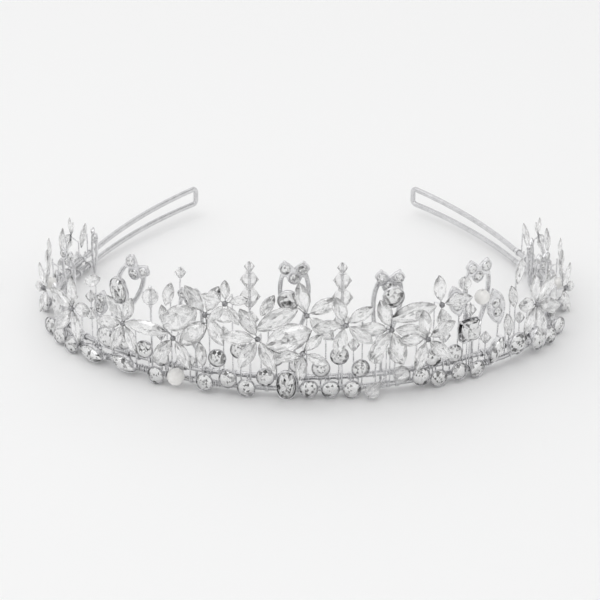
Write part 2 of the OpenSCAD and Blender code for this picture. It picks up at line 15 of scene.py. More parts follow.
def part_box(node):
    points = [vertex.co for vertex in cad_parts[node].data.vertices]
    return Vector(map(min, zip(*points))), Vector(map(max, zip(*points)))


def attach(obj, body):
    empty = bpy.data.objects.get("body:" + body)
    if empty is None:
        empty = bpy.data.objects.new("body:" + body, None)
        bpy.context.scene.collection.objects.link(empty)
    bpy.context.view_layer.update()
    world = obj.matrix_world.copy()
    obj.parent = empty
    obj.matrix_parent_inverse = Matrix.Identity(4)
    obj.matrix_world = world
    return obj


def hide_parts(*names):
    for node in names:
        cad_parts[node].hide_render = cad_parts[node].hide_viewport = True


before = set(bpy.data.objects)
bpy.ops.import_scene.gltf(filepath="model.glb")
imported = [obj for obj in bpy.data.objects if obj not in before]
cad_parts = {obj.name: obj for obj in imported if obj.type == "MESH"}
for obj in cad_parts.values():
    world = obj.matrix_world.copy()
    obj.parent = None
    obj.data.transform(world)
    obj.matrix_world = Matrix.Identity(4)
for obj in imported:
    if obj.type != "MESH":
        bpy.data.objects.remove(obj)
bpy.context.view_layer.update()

MM = 0.001
TAU = 2 * math.pi
UP = Vector((0, 0, 1))
ROOT = "band"


# ---------------------------------------------------------------- solids of the CAD nodes


class Solid:
    """One solid of a CAD node: its points, its centre, and how far its surface spreads each way."""

    def __init__(self, points, triangles):
        self.points = points
        a, b, c = (points[triangles[:, i]] for i in range(3))
        area = np.linalg.norm(np.cross(b - a, c - a), axis=1) / 2
        total = area.sum()
        middle = (area[:, None] * (a + b + c)).sum(0) / 3 / total
        a, b, c = a - middle, b - middle, c - middle
        spread = sum(np.einsum("n,ni,nj->ij", area, v, v) for v in (a, b, c, a + b + c)) / 12 / total
        self.values, self.vectors = np.linalg.eigh(spread)
        self.centre = Vector(middle)

    def axis(self):
        """The axis of a turned solid: the direction whose spread is unlike the other two."""
        low, mid, high = self.values
        return Vector(self.vectors[:, 0 if mid - low > high - mid else 2])

    def along(self, direction):
        """The lowest and highest reach of the solid along a direction."""
        reach = self.points @ np.array(direction)
        return float(reach.min()), float(reach.max())

    def size(self, direction):
        low, high = self.along(direction)
        return high - low

    def radius(self, axis):
        """The largest distance from the axis through the centre."""
        away = self.points - np.array(self.centre)
        across = away - np.outer(away @ np.array(axis), np.array(axis))
        return float(np.linalg.norm(across, axis=1).max())


def solids(node):
    """The separate solids of a CAD node, in a fixed order."""
    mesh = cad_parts[node].data
    mesh.calc_loop_triangles()
    places = np.empty(len(mesh.vertices) * 3)
    mesh.vertices.foreach_get("co", places)
    corners = np.empty(len(mesh.loop_triangles) * 3, np.int32)
    mesh.loop_triangles.foreach_get("vertices", corners)
    keys, index = np.unique(np.round(places.reshape(-1, 3) * 1e7), axis=0, return_inverse=True)
    triangles = index.reshape(-1)[corners].reshape(-1, 3)
    label = np.arange(len(keys))
    while True:
        lowest = label.copy()
        np.minimum.at(lowest, triangles.ravel(), np.repeat(label[triangles].min(1), 3))
        lowest = lowest[lowest]
        if (lowest == label).all():
            break
        label = lowest
    found = []
    for name in np.unique(label[triangles]):
        mine = triangles[label[triangles[:, 0]] == name]
        used, again = np.unique(mine, return_inverse=True)
        found.append(Solid(keys[used] / 1e7, again.reshape(-1, 3)))
    return sorted(found, key=lambda s: (round(s.centre.x, 4), round(s.centre.z, 4), round(s.centre.y, 4)))


def outward(point):
    """The direction away from the head at a point, level."""
    return Vector((point[0], point[1], 0)).normalized()


def basis(origin, right, up, out):
    return Matrix(
        (
            (right.x, up.x, out.x, origin.x),
            (right.y, up.y, out.y, origin.y),
            (right.z, up.z, out.z, origin.z),
            (0, 0, 0, 1),
        )
    )


def seat(solid):
    """A frame at the back of a turned solid: Z outward along its axis, Y as near up as it can be."""
    out = solid.axis()
    if out.dot(outward(solid.centre)) < 0:
        out = -out
    up = (UP - out * out.dot(UP)).normalized()
    back = solid.centre + out * (solid.along(out)[0] - solid.centre.dot(out))
    return basis(back, up.cross(out), up, out)


def flat_seat(solid, toward=None):
    """The same for a long flat solid: Y along its length, away from the point toward, Z its thinnest way."""
    long, out = Vector(solid.vectors[:, 2]), Vector(solid.vectors[:, 0])
    if out.dot(outward(solid.centre)) < 0:
        out = -out
    sense = long.dot(solid.centre - toward) if toward is not None else long.z
    if sense < 0:
        long = -long
    back = solid.centre + out * (solid.along(out)[0] - solid.centre.dot(out))
    return basis(back, long.cross(out), long, out)


def bead_seat(solid):
    """A frame at the lower end of a bead, with Z up along its hole."""
    axis = solid.axis()
    if axis.z < 0:
        axis = -axis
    right = axis.orthogonal().normalized()
    low, high = solid.along(axis)
    foot = solid.centre + axis * (low - solid.centre.dot(axis))
    return basis(foot, right, axis.cross(right), axis), high - low


# ---------------------------------------------------------------- mesh building


class Build:
    """Collects the vertices and faces of one piece. Facet is a random number for each face, which the
    crystal materials turn into a painted reflection grey.
    """

    def __init__(self, seed):
        self.verts, self.faces, self.smooth, self.facet, self.slots = [], [], [], [], []
        self.draw = Random(seed)

    def add(self, verts, faces, place=None, smooth=False, slot=0):
        first = len(self.verts)
        self.verts += [tuple(place @ Vector(v)) if place else tuple(v) for v in verts]
        for face in faces:
            self.faces.append([first + i for i in face])
            self.smooth.append(smooth)
            self.facet.append(self.draw.random())
            self.slots.append(slot)


def piece(name, build, nodes, body, slot, *materials):
    """Makes a Blender object of a build, which stands for the CAD nodes and rides on the body."""
    mesh = bpy.data.meshes.new(name)
    mesh.from_pydata(build.verts, [], build.faces)
    mesh.polygons.foreach_set("use_smooth", build.smooth)
    mesh.polygons.foreach_set("material_index", build.slots)
    # a random number for each face, turned by the crystal materials into painted reflection greys
    mesh.attributes.new("facet", "FLOAT", "FACE").data.foreach_set("value", build.facet)
    mesh.validate()
    mesh.set_sharp_from_angle(angle=math.radians(40))
    obj = bpy.data.objects.new(name, mesh)
    bpy.context.scene.collection.objects.link(obj)
    for material in materials:
        mesh.materials.append(material)
    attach(obj, body)
    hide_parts(*nodes)
    return obj


def circle(radius, steps, z=0.0, turn=0.0):
    return [
        (radius * math.cos(TAU * (i + turn) / steps), radius * math.sin(TAU * (i + turn) / steps), z)
        for i in range(steps)
    ]


def ringed(rings, steps):
    """A closed solid round Z. Rings are (radius, height, half step) round its section, from the
    bottom of the hole by the outside to the top of the hole."""
    verts, faces = [], []
    for radius, z, half in rings:
        verts += circle(radius, steps, z, half / 2)
    for i, (_, _, half) in enumerate(rings):
        j = (i + 1) % len(rings)
        for k in range(steps):
            a, a_next = i * steps + k, i * steps + (k + 1) % steps
            b, b_next = j * steps + k, j * steps + (k + 1) % steps
            if rings[j][2] == half:
                faces.append((a, a_next, b_next, b))
            elif half == 0:
                faces += [(a, a_next, b), (b, a_next, b_next)]
            else:
                faces += [(a, b_next, b), (a, a_next, b_next)]
    return verts, faces


def turned(profile, steps=32):
    """A turned solid from a closed profile of (radius, height), bottom to top by the outside."""
    return ringed([(r, z, 0) for r, z in profile], steps)


def oval(width, length, square=2.0):
    """An outline: a point for each fraction of a turn. A higher square makes its corners fuller."""

    def at(u):
        c, s = math.cos(TAU * u), math.sin(TAU * u)
        power = 2 / square
        return (
            width / 2 * math.copysign(abs(c) ** power, c),
            length / 2 * math.copysign(abs(s) ** power, s),
        )

    return at


def navette(width, length):
    """A pointed outline of two arcs."""
    radius = (width * width + length * length) / (4 * width)

    def at(u):
        c, y = math.cos(TAU * u), length / 2 * math.sin(TAU * u)
        return math.copysign(math.sqrt(radius * radius - y * y) - radius + width / 2, c), y

    return at


def cut_stone(outline, sides, top, crown, girdle, bottom, keel=0.12):
    """A faceted crystal.

    Top and crown are (scale of the outline, height), girdle is its two heights, bottom is a height.
    """

    def ring(scale, z, steps, shift=0.0):
        return [(*(scale * v for v in outline((i + shift) / steps)), z) for i in range(steps)]

    n = sides
    table = ring(*top, n)
    # The table is split into a flat fan of faces at its own height, which changes no outline. Each face
    # carries its own painted reflection grey: a painted pavilion pattern seen through the table.
    painted_reflection_fan = ring(0.55 * top[0], top[1], n, 0.5) + [(0, 0, top[1])]
    mids = ring(*crown, n, 0.5)
    upper = ring(1, girdle[0], 2 * n)
    lower = ring(1, girdle[1], 2 * n)
    under = ring(0.5, (girdle[1] + 2 * bottom) / 3, n, 0.5)
    tip = [(0, scale, bottom) for scale in (-keel * outline(0.25)[1], keel * outline(0.25)[1])]
    verts = table + mids + upper + lower + under + tip + painted_reflection_fan
    t, m, u, low, p, c = 0, n, 2 * n, 4 * n, 6 * n, 7 * n
    s = 7 * n + 2
    faces = []
    for k in range(n):
        nxt, prev = (k + 1) % n, (k - 1) % n
        g0, g1, g2 = 2 * k, 2 * k + 1, (2 * k + 2) % (2 * n)
        faces += [
            # the flat fan in the table, whose faces are there only for painted reflection greys
            (t + k, t + nxt, s + k),
            (s + prev, t + k, s + k),
            (s + prev, s + k, s + n),
            (t + k, m + k, t + nxt),
            (t + k, m + prev, u + g0, m + k),
            (m + k, u + g0, u + g1),
            (m + k, u + g1, u + g2),
            (p + k, low + g1, low + g0),
            (p + k, low + g2, low + g1),
        ]
        # the keel has a near and a far end, and each lower main facet runs to the nearer one
        y = outline(k / n)[1]
        end = c if y < 0 else c + 1
        faces.append((end, p + k, low + g0, p + prev))
        far = c if outline(nxt / n)[1] < 0 else c + 1
        if far != end:
            faces.append((end, far, p + k))
    for j in range(2 * n):
        nxt = (j + 1) % (2 * n)
        faces.append((u + j, low + j, low + nxt, u + nxt))
    return verts, faces


def frames_along(path):
    """Parallel-transported side vectors for each point of a path."""
    tangents = [
        (path[min(i + 1, len(path) - 1)] - path[max(i - 1, 0)]).normalized() for i in range(len(path))
    ]
    side = tangents[0].orthogonal().normalized()
    sides = []
    for tangent in tangents:
        side = (side - tangent * side.dot(tangent)).normalized()
        sides.append((side, tangent.cross(side)))
    return sides


def tube(build, path, radius, steps=6, slot=0):
    """A round wire along a path, with rounded-off ends."""
    path = [Vector(p) for p in path]
    sides = frames_along(path)
    verts, faces = [], []
    for point, (a, b) in zip(path, sides):
        for i in range(steps):
            turn = TAU * i / steps
            verts.append(point + radius * (math.cos(turn) * a + math.sin(turn) * b))
    for i in range(len(path) - 1):
        for k in range(steps):
            nxt = (k + 1) % steps
            faces.append((i * steps + k, i * steps + nxt, (i + 1) * steps + nxt, (i + 1) * steps + k))
    last = (len(path) - 1) * steps
    verts += [path[0] - (path[1] - path[0]).normalized() * radius / 2]
    verts += [path[-1] + (path[-1] - path[-2]).normalized() * radius / 2]
    for k in range(steps):
        nxt = (k + 1) % steps
        faces.append((len(verts) - 2, nxt, k))
        faces.append((len(verts) - 1, last + k, last + nxt))
    build.add(verts, faces, smooth=True, slot=slot)


def smooth_path(points, step):
    """Points about a step apart along straight runs between points, with the corners eased."""
    points = [Vector(p) for p in points]
    path = []
    for a, b in zip(points, points[1:]):
        count = max(1, round((b - a).length / step))
        path += [a.lerp(b, i / count) for i in range(count)]
    path.append(points[-1])
    for _ in range(6):
        path = (
            [path[0]]
            + [(path[i - 1] + 2 * path[i] + path[i + 1]) / 4 for i in range(1, len(path) - 1)]
            + [path[-1]]
        )
    return path


def twist(build, points, envelope=0.25 * MM, pitch=1.5 * MM, phase=0.0):
    """Two fine wires twisted round each other along a line of points."""
    path = smooth_path(points, pitch / 8)
    sides = frames_along(path)
    lengths = [0.0]
    for a, b in zip(path, path[1:]):
        lengths.append(lengths[-1] + (b - a).length)
    for strand in (0, 0.5):
        wire = []
        for point, (a, b), length in zip(path, sides, lengths):
            turn = TAU * (length / pitch + strand + phase)
            wire.append(point + envelope * 0.48 * (math.cos(turn) * a + math.sin(turn) * b))
        tube(build, wire, envelope * 0.5, 5)


def coil(build, start, end, radius, wire, turns, steps=14):
    """A helix of wire round the line from start to end."""
    run = end - start
    along = run.normalized()
    a = (UP - along * along.dot(UP)).normalized()
    b = along.cross(a)
    count = round(turns * steps)
    path = []
    for i in range(count + 1):
        turn = TAU * i / steps
        path.append(start + run * i / count + radius * (math.cos(turn) * a + math.sin(turn) * b))
    tube(build, path, wire, 6)


def plate(outlines, thick, bevel):
    """Vertices and faces of a flat casting with eased edges, centred on z = 0. The first outline is
    the outside and the others are its openings."""
    curve = bpy.data.curves.new("plate", "CURVE")
    curve.dimensions = "2D"
    curve.fill_mode = "BOTH"
    curve.extrude = thick / 2 - bevel
    curve.bevel_depth = bevel
    curve.bevel_resolution = 2
    curve.offset = -bevel
    for outline in outlines:
        spline = curve.splines.new("POLY")
        spline.points.add(len(outline) - 1)
        for point, (x, y) in zip(spline.points, outline):
            point.co = (x, y, 0, 1)
        spline.use_cyclic_u = True
    obj = bpy.data.objects.new("plate", curve)
    bpy.context.scene.collection.objects.link(obj)
    mesh = obj.to_mesh()
    verts = [tuple(v.co) for v in mesh.vertices]
    faces = [tuple(p.vertices) for p in mesh.polygons]
    obj.to_mesh_clear()
    bpy.data.objects.remove(obj)
    bpy.data.curves.remove(curve)
    return verts, faces


# ---------------------------------------------------------------- materials


def new_material(name):
    material = bpy.data.materials.new(name)
    material.use_nodes = True
    tree = material.node_tree
    return material, tree.nodes, tree.links, tree.nodes["Principled BSDF"]


def noise(nodes, links, scale, detail=3.0):
    """A noise pattern fixed to the object, in cycles a metre."""
    coordinates = nodes.new("ShaderNodeTexCoord")
    pattern = nodes.new("ShaderNodeTexNoise")
    pattern.inputs["Scale"].default_value = scale
    pattern.inputs["Detail"].default_value = detail
    links.new(coordinates.outputs["Object"], pattern.inputs["Vector"])
    return pattern.outputs["Fac"]


def ramp(nodes, links, value, *stops):
    """A colour ramp with (place, grey level or colour) stops."""
    node = nodes.new("ShaderNodeValToRGB")
    elements = node.color_ramp.elements
    while len(elements) < len(stops):
        elements.new(0.5)
    for element, (place, colour) in zip(elements, stops):
        element.position = place
        element.color = (*colour, 1) if isinstance(colour, tuple) else (colour, colour, colour, 1)
    links.new(value, node.inputs["Fac"])
    return node.outputs["Color"]


def metal(name, dark, light, rough_low, rough_high, grain, bump):
    """Plated metal: patchy tone and polish, and a fine surface grain."""
    material, nodes, links, shader = new_material(name)
    shader.inputs["Metallic"].default_value = 1.0
    tone = noise(nodes, links, grain / 6, 4)
    links.new(ramp(nodes, links, tone, (0.3, dark), (0.7, light)), shader.inputs["Base Color"])
    fine = noise(nodes, links, grain, 2)
    links.new(ramp(nodes, links, fine, (0.3, rough_low), (0.7, rough_high)), shader.inputs["Roughness"])
    relief = nodes.new("ShaderNodeBump")
    relief.inputs["Strength"].default_value = bump
    relief.inputs["Distance"].default_value = 0.02 * MM
    links.new(fine, relief.inputs["Height"])
    links.new(relief.outputs["Normal"], shader.inputs["Normal"])
    return material


def crystal(name, stops, transmission, metallic, roughness, ior=1.56):
    """Cut glass.

    Each facet gets a random grey level from the stops. These are painted reflections, light and dark,
    standing in for what the foil and the facets behind it give back.
    """
    material, nodes, links, shader = new_material(name)
    shader.inputs["Transmission Weight"].default_value = transmission
    shader.inputs["Metallic"].default_value = metallic
    shader.inputs["IOR"].default_value = ior
    facet = nodes.new("ShaderNodeAttribute")
    facet.attribute_name = "facet"
    # painted reflections: each facet's random number picks a grey from the stops
    links.new(ramp(nodes, links, facet.outputs["Fac"], *stops), shader.inputs["Base Color"])
    wear = noise(nodes, links, 900, 2)
    worn = ramp(nodes, links, wear, (0.4, roughness), (0.75, roughness + 0.05))
    links.new(worn, shader.inputs["Roughness"])
    return material


silver_wire = metal("satin_silver_wire", (0.62, 0.62, 0.63), (0.74, 0.74, 0.75), 0.2, 0.3, 3000, 0.25)
fine_wire = metal("drawn_fine_wire", (0.8, 0.8, 0.81), (0.93, 0.93, 0.94), 0.2, 0.34, 6000, 0.2)
cast_metal = metal("cast_silver", (0.62, 0.62, 0.63), (0.88, 0.88, 0.89), 0.14, 0.28, 5000, 0.4)
cup_metal = metal("cup_silver", (0.5, 0.5, 0.51), (0.75, 0.75, 0.76), 0.12, 0.24, 5000, 0.3)
dark_metal = metal("darkened_silver", (0.22, 0.22, 0.23), (0.5, 0.5, 0.51), 0.15, 0.3, 4000, 0.4)

# The stops of these four crystal materials are painted reflections: a grey for each facet, from dark to
# white.
foiled_crystal = crystal(
    "foiled_crystal",
    ((0.0, 0.12), (0.14, 0.45), (0.3, 0.88), (0.45, 1.0), (1.0, 1.0)),
    transmission=1.0, metallic=0.75, roughness=0.05,
)
foil = crystal(
    "stone_foil",
    ((0.0, 0.05), (0.08, 0.35), (0.3, 0.75), (0.5, 0.95), (1.0, 1.0)),
    transmission=0.0, metallic=1.0, roughness=0.12,
)
petal_crystal = crystal(
    "petal_crystal",
    ((0.0, 0.35), (0.1, 0.75), (0.25, 0.96), (1.0, 1.0)),
    transmission=0.95, metallic=0.3, roughness=0.02,
)
bead_crystal = crystal(
    "bead_crystal",
    ((0.0, 0.72), (0.3, 0.9), (0.6, 0.99), (1.0, 1.0)),
    transmission=0.95, metallic=0.15, roughness=0.04,
)


def make_pearl():
    material, nodes, links, shader = new_material("pearl_lustre")
    tone = noise(nodes, links, 500, 3)
    links.new(ramp(nodes, links, tone, (0.3, (0.8, 0.79, 0.77)), (0.7, (0.92, 0.91, 0.89))),
              shader.inputs["Base Color"])
    grain = ramp(nodes, links, noise(nodes, links, 2500), (0.3, 0.16), (0.7, 0.26))
    links.new(grain, shader.inputs["Roughness"])
    shader.inputs["Coat Weight"].default_value = 0.7
    shader.inputs["Coat Roughness"].default_value = 0.08
    shader.inputs["Sheen Weight"].default_value = 0.2
    return material


pearl = make_pearl()


# ---------------------------------------------------------------- round crystals in cups


def add_cup(build, place, r):
    """A closed-back cup for a crystal of radius r: a flared wall with a rolled rim, and a conical seat."""
    wall = [
        (0.05 * r, 0.0), (0.5 * r, 0.0), (0.56 * r, 0.02 * r), (1.08 * r, 0.62 * r), (1.1 * r, 0.7 * r),
        (1.09 * r, 0.8 * r), (1.065 * r, 0.9 * r), (1.04 * r, 0.93 * r), (1.015 * r, 0.9 * r),
        (1.01 * r, 0.7 * r), (0.98 * r, 0.66 * r), (0.06 * r, 0.14 * r),
    ]
    build.add(*turned(wall, 32), place, smooth=True)


def add_brilliant(build, place, r, turn):
    """A round crystal with an eight-fold crown. Its back point is at the place's origin."""
    spin = place @ Matrix.Rotation(turn, 4, "Z")
    verts, faces = cut_stone(
        oval(2 * r, 2 * r), 8, top=(0.54, 0.95 * r), crown=(0.8, 0.83 * r), girdle=(0.63 * r, 0.54 * r),
        bottom=0.02 * r, keel=0.0,
    )
    n = 8
    body = [f for f in faces if len(set(f)) > 2]
    build.add(verts, body, spin)
    # foil under the pavilion, just inside the cup
    outer = circle(0.97 * r, 2 * n, 0.56 * r)
    inner = circle(0.45 * r, n, 0.2 * r, 0.5)
    foil_verts = outer + inner + [(0, 0, -0.02 * r)]
    foil_faces = []
    for k in range(n):
        nxt = (k + 1) % n
        foil_faces += [
            (2 * n + k, 2 * k, 2 * k + 1), (2 * n + k, 2 * k + 1, (2 * k + 2) % (2 * n)),
            (2 * n + k, (2 * k + 2) % (2 * n), 2 * n + nxt), (3 * n, 2 * n + k, 2 * n + nxt),
        ]
    lift = Matrix.Translation((0, 0, -0.03 * r))
    build.add(foil_verts, foil_faces, spin @ lift, slot=1)


def cup_row(row, seed):
    cups, stones = Build(seed), Build(seed + 1)
    for solid in solids(row + "_cups"):
        out = seat(solid)
        add_cup(cups, out, solid.radius(out.col[2].xyz) / 1.1)
    for solid in solids(row + "_stones"):
        out = seat(solid)
        add_brilliant(stones, out, solid.radius(out.col[2].xyz), stones.draw.random() * TAU)
    piece(row + "_turned_cups", cups, [row + "_cups"], ROOT, "cup_metal", cup_metal)
    piece(row + "_cut_stones", stones, [row + "_stones"], ROOT, "foiled_crystal", foiled_crystal, foil)


for number, row in enumerate(("lower_row", "upper_row", "left_side", "right_side")):
    cup_row(row, 10 * number)


# ---------------------------------------------------------------- large stones and their settings


def add_tray(build, place, outline, wall, height):
    """An open setting round a stone's outline, with a rolled rim, eased in over the girdle."""
    steps = 40
    section = [
        (-0.9, 0.0), (0.0, 0.0), (1.0, 0.25), (1.1, 0.9),
        (0.9, 1.02), (0.4, 0.98), (0.12, 0.85), (0.05, 0.3),
    ]
    verts, faces = [], []
    for push, z in section:
        for i in range(steps):
            x, y = outline(i / steps)
            size = math.hypot(x, y)
            grow = 1 + push * wall / size
            verts.append((x * grow, y * grow, z * height))
    for i in range(len(section) - 1):
        for k in range(steps):
            nxt = (k + 1) % steps
            faces.append((i * steps + k, i * steps + nxt, (i + 1) * steps + nxt, (i + 1) * steps + k))
    last = (len(section) - 1) * steps
    faces += [tuple(last + k for k in range(steps)), tuple(k for k in reversed(range(steps)))]
    build.add(verts, faces, place, smooth=True)


def add_foil(build, place, outline, sides, top, bottom):
    """A faceted mirror under a stone."""
    n = sides
    rim = [(*(0.96 * v for v in outline(i / (2 * n))), top) for i in range(2 * n)]
    mids = [(*(0.5 * v for v in outline((i + 0.5) / n)), (top + 2 * bottom) / 3) for i in range(n)]
    faces = []
    for k in range(n):
        nxt = (k + 1) % n
        faces += [
            (2 * n + k, 2 * k, 2 * k + 1), (2 * n + k, 2 * k + 1, (2 * k + 2) % (2 * n)),
            (2 * n + k, (2 * k + 2) % (2 * n), 2 * n + nxt), (3 * n, 2 * n + k, 2 * n + nxt),
        ]
    build.add(rim + mids + [(0, 0, bottom)], faces, place, slot=1)


settings, rounds, ovals, cushions = Build(50), Build(51), Build(52), Build(53)
for solid in solids("large_round_stones"):
    place = seat(solid)
    r = solid.radius(place.col[2].xyz)
    add_brilliant(rounds, place, r, rounds.draw.random() * TAU)
    add_cup(settings, place @ Matrix.Translation((0, 0, -0.17 * r)), r)
for solid in solids("large_oval_stones"):
    place = flat_seat(solid)
    width, length, thick = (solid.size(place.col[i].xyz) for i in range(3))
    pointed = length / width > 1.8
    shape = navette(width, length) if pointed else oval(width, length, 2.3)
    girdle = 0.42 * thick
    table, crown = (0.55, 0.96 * thick), (0.78, 0.78 * thick)
    ovals.add(*cut_stone(shape, 12, table, crown, (girdle + 0.1 * MM, girdle), 0.08 * thick), place)
    add_foil(ovals, place, shape, 12, 0.34 * thick, 0.03 * thick)
    back = place @ Matrix.Translation((0, 0, -0.45 * MM))
    add_tray(settings, back, shape, 0.28 * MM, 1.75 * MM)
for solid in solids("cushion_stone"):
    place = seat(solid)
    width, thick = solid.size(place.col[0].xyz), solid.size(place.col[2].xyz)
    shape = oval(width, width, 3.6)
    table, crown, girdles = (0.58, thick), (0.8, 0.86 * thick), (0.5 * thick, 0.42 * thick)
    cushions.add(*cut_stone(shape, 12, table, crown, girdles, 0.05 * thick, keel=0.0), place)
    add_foil(cushions, place, shape, 12, 0.36 * thick, 0.02 * thick)
    back = place @ Matrix.Translation((0, 0, -0.7 * MM))
    gallery = oval(width + 0.6 * MM, width + 0.6 * MM, 3.6)
    add_tray(settings, back, gallery, 0.25 * MM, 0.9 * MM)
    claw = 0.36 * width
    for x in (-1, 1):
        for y in (-1, 1):
            foot = Vector((x * (claw + 0.5 * MM), y * (claw + 0.5 * MM), 0.2 * MM))
            bend = Vector((foot.x, foot.y, 2.4 * MM))
            tip = Vector((x * (claw - 0.35 * MM), y * (claw - 0.35 * MM), 2.85 * MM))
            tube(settings, [back @ p for p in smooth_path([foot, bend, tip], 0.2 * MM)], 0.33 * MM, 8)
piece("large_settings", settings, ["large_stone_settings"], ROOT, "cast_metal", cast_metal)
piece("large_round_cut", rounds, ["large_round_stones"], ROOT, "foiled_crystal", foiled_crystal, foil)
piece("large_oval_cut", ovals, ["large_oval_stones"], ROOT, "foiled_crystal", foiled_crystal, foil)
piece("cushion_cut", cushions, ["cushion_stone"], ROOT, "foiled_crystal", foiled_crystal, foil)


# ---------------------------------------------------------------- cast arches and leaves

# An arch's proportions, in units in which its upper stones stand LOBE_SPACING apart.
LOBE_SPACING = 4.8
PAVE_R = 1.35
ARCH_HALF = 4.5
WALL = 1.25
UPPER_ARC = 14.0
LOWER_ARC = 30.0
WAIST_Y = 6.75
TAIL_Y = -9.05
INNER_TAIL_Y = -6.7
LOBE_Y = 12.9
LOBE_R = 2.1
LOW_STONE_Y = 10.2
STONE_BACK = 0.02


def side_x(y, half):
    """Half the width of an arch at a height: a tight arc above the waist and a long one below it."""
    radius = UPPER_ARC if y > WAIST_Y else LOWER_ARC
    return math.sqrt(radius**2 - (y - WAIST_Y) ** 2) - radius + half


def arch_outlines():
    """The outside of a heart-topped arch with a pointed tail and a cusp on each lobe, and its opening."""
    right = [(side_x(y, ARCH_HALF), y) for y in (-8, -6.5, -5, -3.5, -2, 0, 2, 4, 6, 7.5, 9, 10.5, 11.8)]
    centre = LOBE_SPACING / 2
    for step in range(1, 12):
        angle = math.radians(-8 + 14 * step)
        reach = LOBE_R - 0.2 + (0.45 if step in (6, 7) else 0)
        right.append((centre + reach * math.cos(angle), LOBE_Y + reach * math.sin(angle)))
    outside = [(0, TAIL_Y)] + right + [(0, LOBE_Y + 0.3)] + [(-x, y) for x, y in reversed(right)]
    inner = [(side_x(y, ARCH_HALF - WALL), y) for y in (-5.5, -4, -2, 0, 2, 4, 6, 7.5, 9, 10.4)]
    inner += [(2.2, 10.6), (1.7, 9.3), (0.9, 8.5)]
    opening = [(0, INNER_TAIL_Y)] + inner + [(0, 8.2)] + [(-x, y) for x, y in reversed(inner)]
    return outside, opening


def add_collar(build, place, r):
    """A raised ring round a small stone."""
    profile = [
        (r * 0.98, -0.2 * MM), (r * 1.16, -0.2 * MM), (r * 1.15, 0.16 * MM),
        (r * 1.1, 0.26 * MM), (r * 1.03, 0.22 * MM), (r * 0.99, 0.1 * MM),
    ]
    build.add(*turned(profile, 20), place, smooth=True)


def add_grain(build, place, r):
    """One small round grain of a milled edge."""
    rings = [(0.02 * r, -r, 0), (0.7 * r, -0.7 * r, 0), (r, 0, 0), (0.7 * r, 0.7 * r, 0), (0.02 * r, r, 0)]
    build.add(*ringed(rings, 7), place, smooth=True)


def add_pave(build, place, r, turn):
    verts, faces = cut_stone(
        oval(2 * r, 2 * r), 6, (0.52, 0.78 * r), (0.8, 0.66 * r), (0.45 * r, 0.38 * r), 0.03 * r, keel=0.0
    )
    build.add(verts, [f for f in faces if len(set(f)) > 2], place @ Matrix.Rotation(turn, 4, "Z"))
    foil_verts = circle(0.96 * r, 12, 0.3 * r) + [(0, 0, 0.0)]
    build.add(foil_verts, [(k, (k + 1) % 12, 12) for k in range(12)], place, slot=1)


def stones_in(casting, stones):
    """The stones that lie within a casting's own box."""
    low, high = casting.points.min(0) - MM, casting.points.max(0) + MM
    return [s for s in stones if all(low[i] < s.centre[i] < high[i] for i in range(3))]


def arch_frame(stones):
    """Origin at an arch's foot, scaled to arch units, from its three stones."""
    pairs = [(stones[i], stones[j], stones[3 - i - j]) for i in range(3) for j in range(i + 1, 3)]
    one, two, low = max(pairs, key=lambda p: (p[0].centre - p[1].centre).length)
    out = seat(low).col[2].xyz
    up = (one.centre + two.centre) / 2 - low.centre
    up = (up - out * up.dot(out)).normalized()
    unit = (one.centre - two.centre).length / LOBE_SPACING
    back = seat(low).translation
    origin = back - up * LOW_STONE_Y * unit - out * STONE_BACK * unit
    return basis(origin, up.cross(out), up, out) @ Matrix.Scale(unit, 4), unit


arch_stone_solids = solids("arch_stones")
outside, opening = arch_outlines()
arch_plate = plate((outside, opening), 0.95, 0.2)
rail_top, rail_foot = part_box("upper_rail")[1].z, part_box("lower_rail")[0].z
arch_cut = Build(60)
ARCH_STEM_R, ARCH_PEG_R = 0.42 * MM, 0.3 * MM
for group in ("front", "left", "right"):
    node = "arch_castings_" + group
    build = Build(61)
    for casting in solids(node):
        place, unit = arch_frame(stones_in(casting, arch_stone_solids))
        build.add(*arch_plate, place, smooth=True)
        for x, y in ((-LOBE_SPACING / 2, LOBE_Y), (LOBE_SPACING / 2, LOBE_Y), (0, LOW_STONE_Y)):
            face = place @ Matrix.Translation((x, y, 0.55)) @ Matrix.Scale(1 / unit, 4)
            add_collar(build, face, PAVE_R * unit)
        for side in (-1, 1):
            for step in range(29):
                y = -7.6 + 0.63 * step
                edge = side * (side_x(y, ARCH_HALF) - WALL / 2)
                add_grain(build, place @ Matrix.Translation((edge, y, 0.52)), 0.31)
        tail = place @ Vector((0, -8, 0))
        if tail.z > rail_top:
            foot = Vector(casting.points[casting.points[:, 2] < rail_foot + 0.05 * MM].mean(0))
            tube(build, smooth_path([foot, tail], MM), ARCH_STEM_R, 8)
        else:
            # A known fault: in three of the four low arches no point lies within this tolerance, so x and
            # y are not numbers, and the stem and the peg aren't drawn.
            cap = casting.points[abs(casting.points[:, 2] - rail_top) < 0.02 * MM]
            x, y, _ = np.median(cap, axis=0)
            grip = place @ Vector((0, -7, 0))
            tube(build, [Vector((x, y, rail_foot)), Vector((x, y, rail_top))], ARCH_STEM_R, 8)
            tube(build, [Vector((x, y, grip.z)), grip], ARCH_PEG_R, 8)
    piece(node + "_detailed", build, [node], ROOT, "cast_metal", cast_metal)
for solid in arch_stone_solids:
    place = seat(solid)
    add_pave(arch_cut, place, solid.radius(place.col[2].xyz), arch_cut.draw.random() * TAU)
piece("arch_cut_stones", arch_cut, ["arch_stones"], ROOT, "foiled_crystal", foiled_crystal, foil)

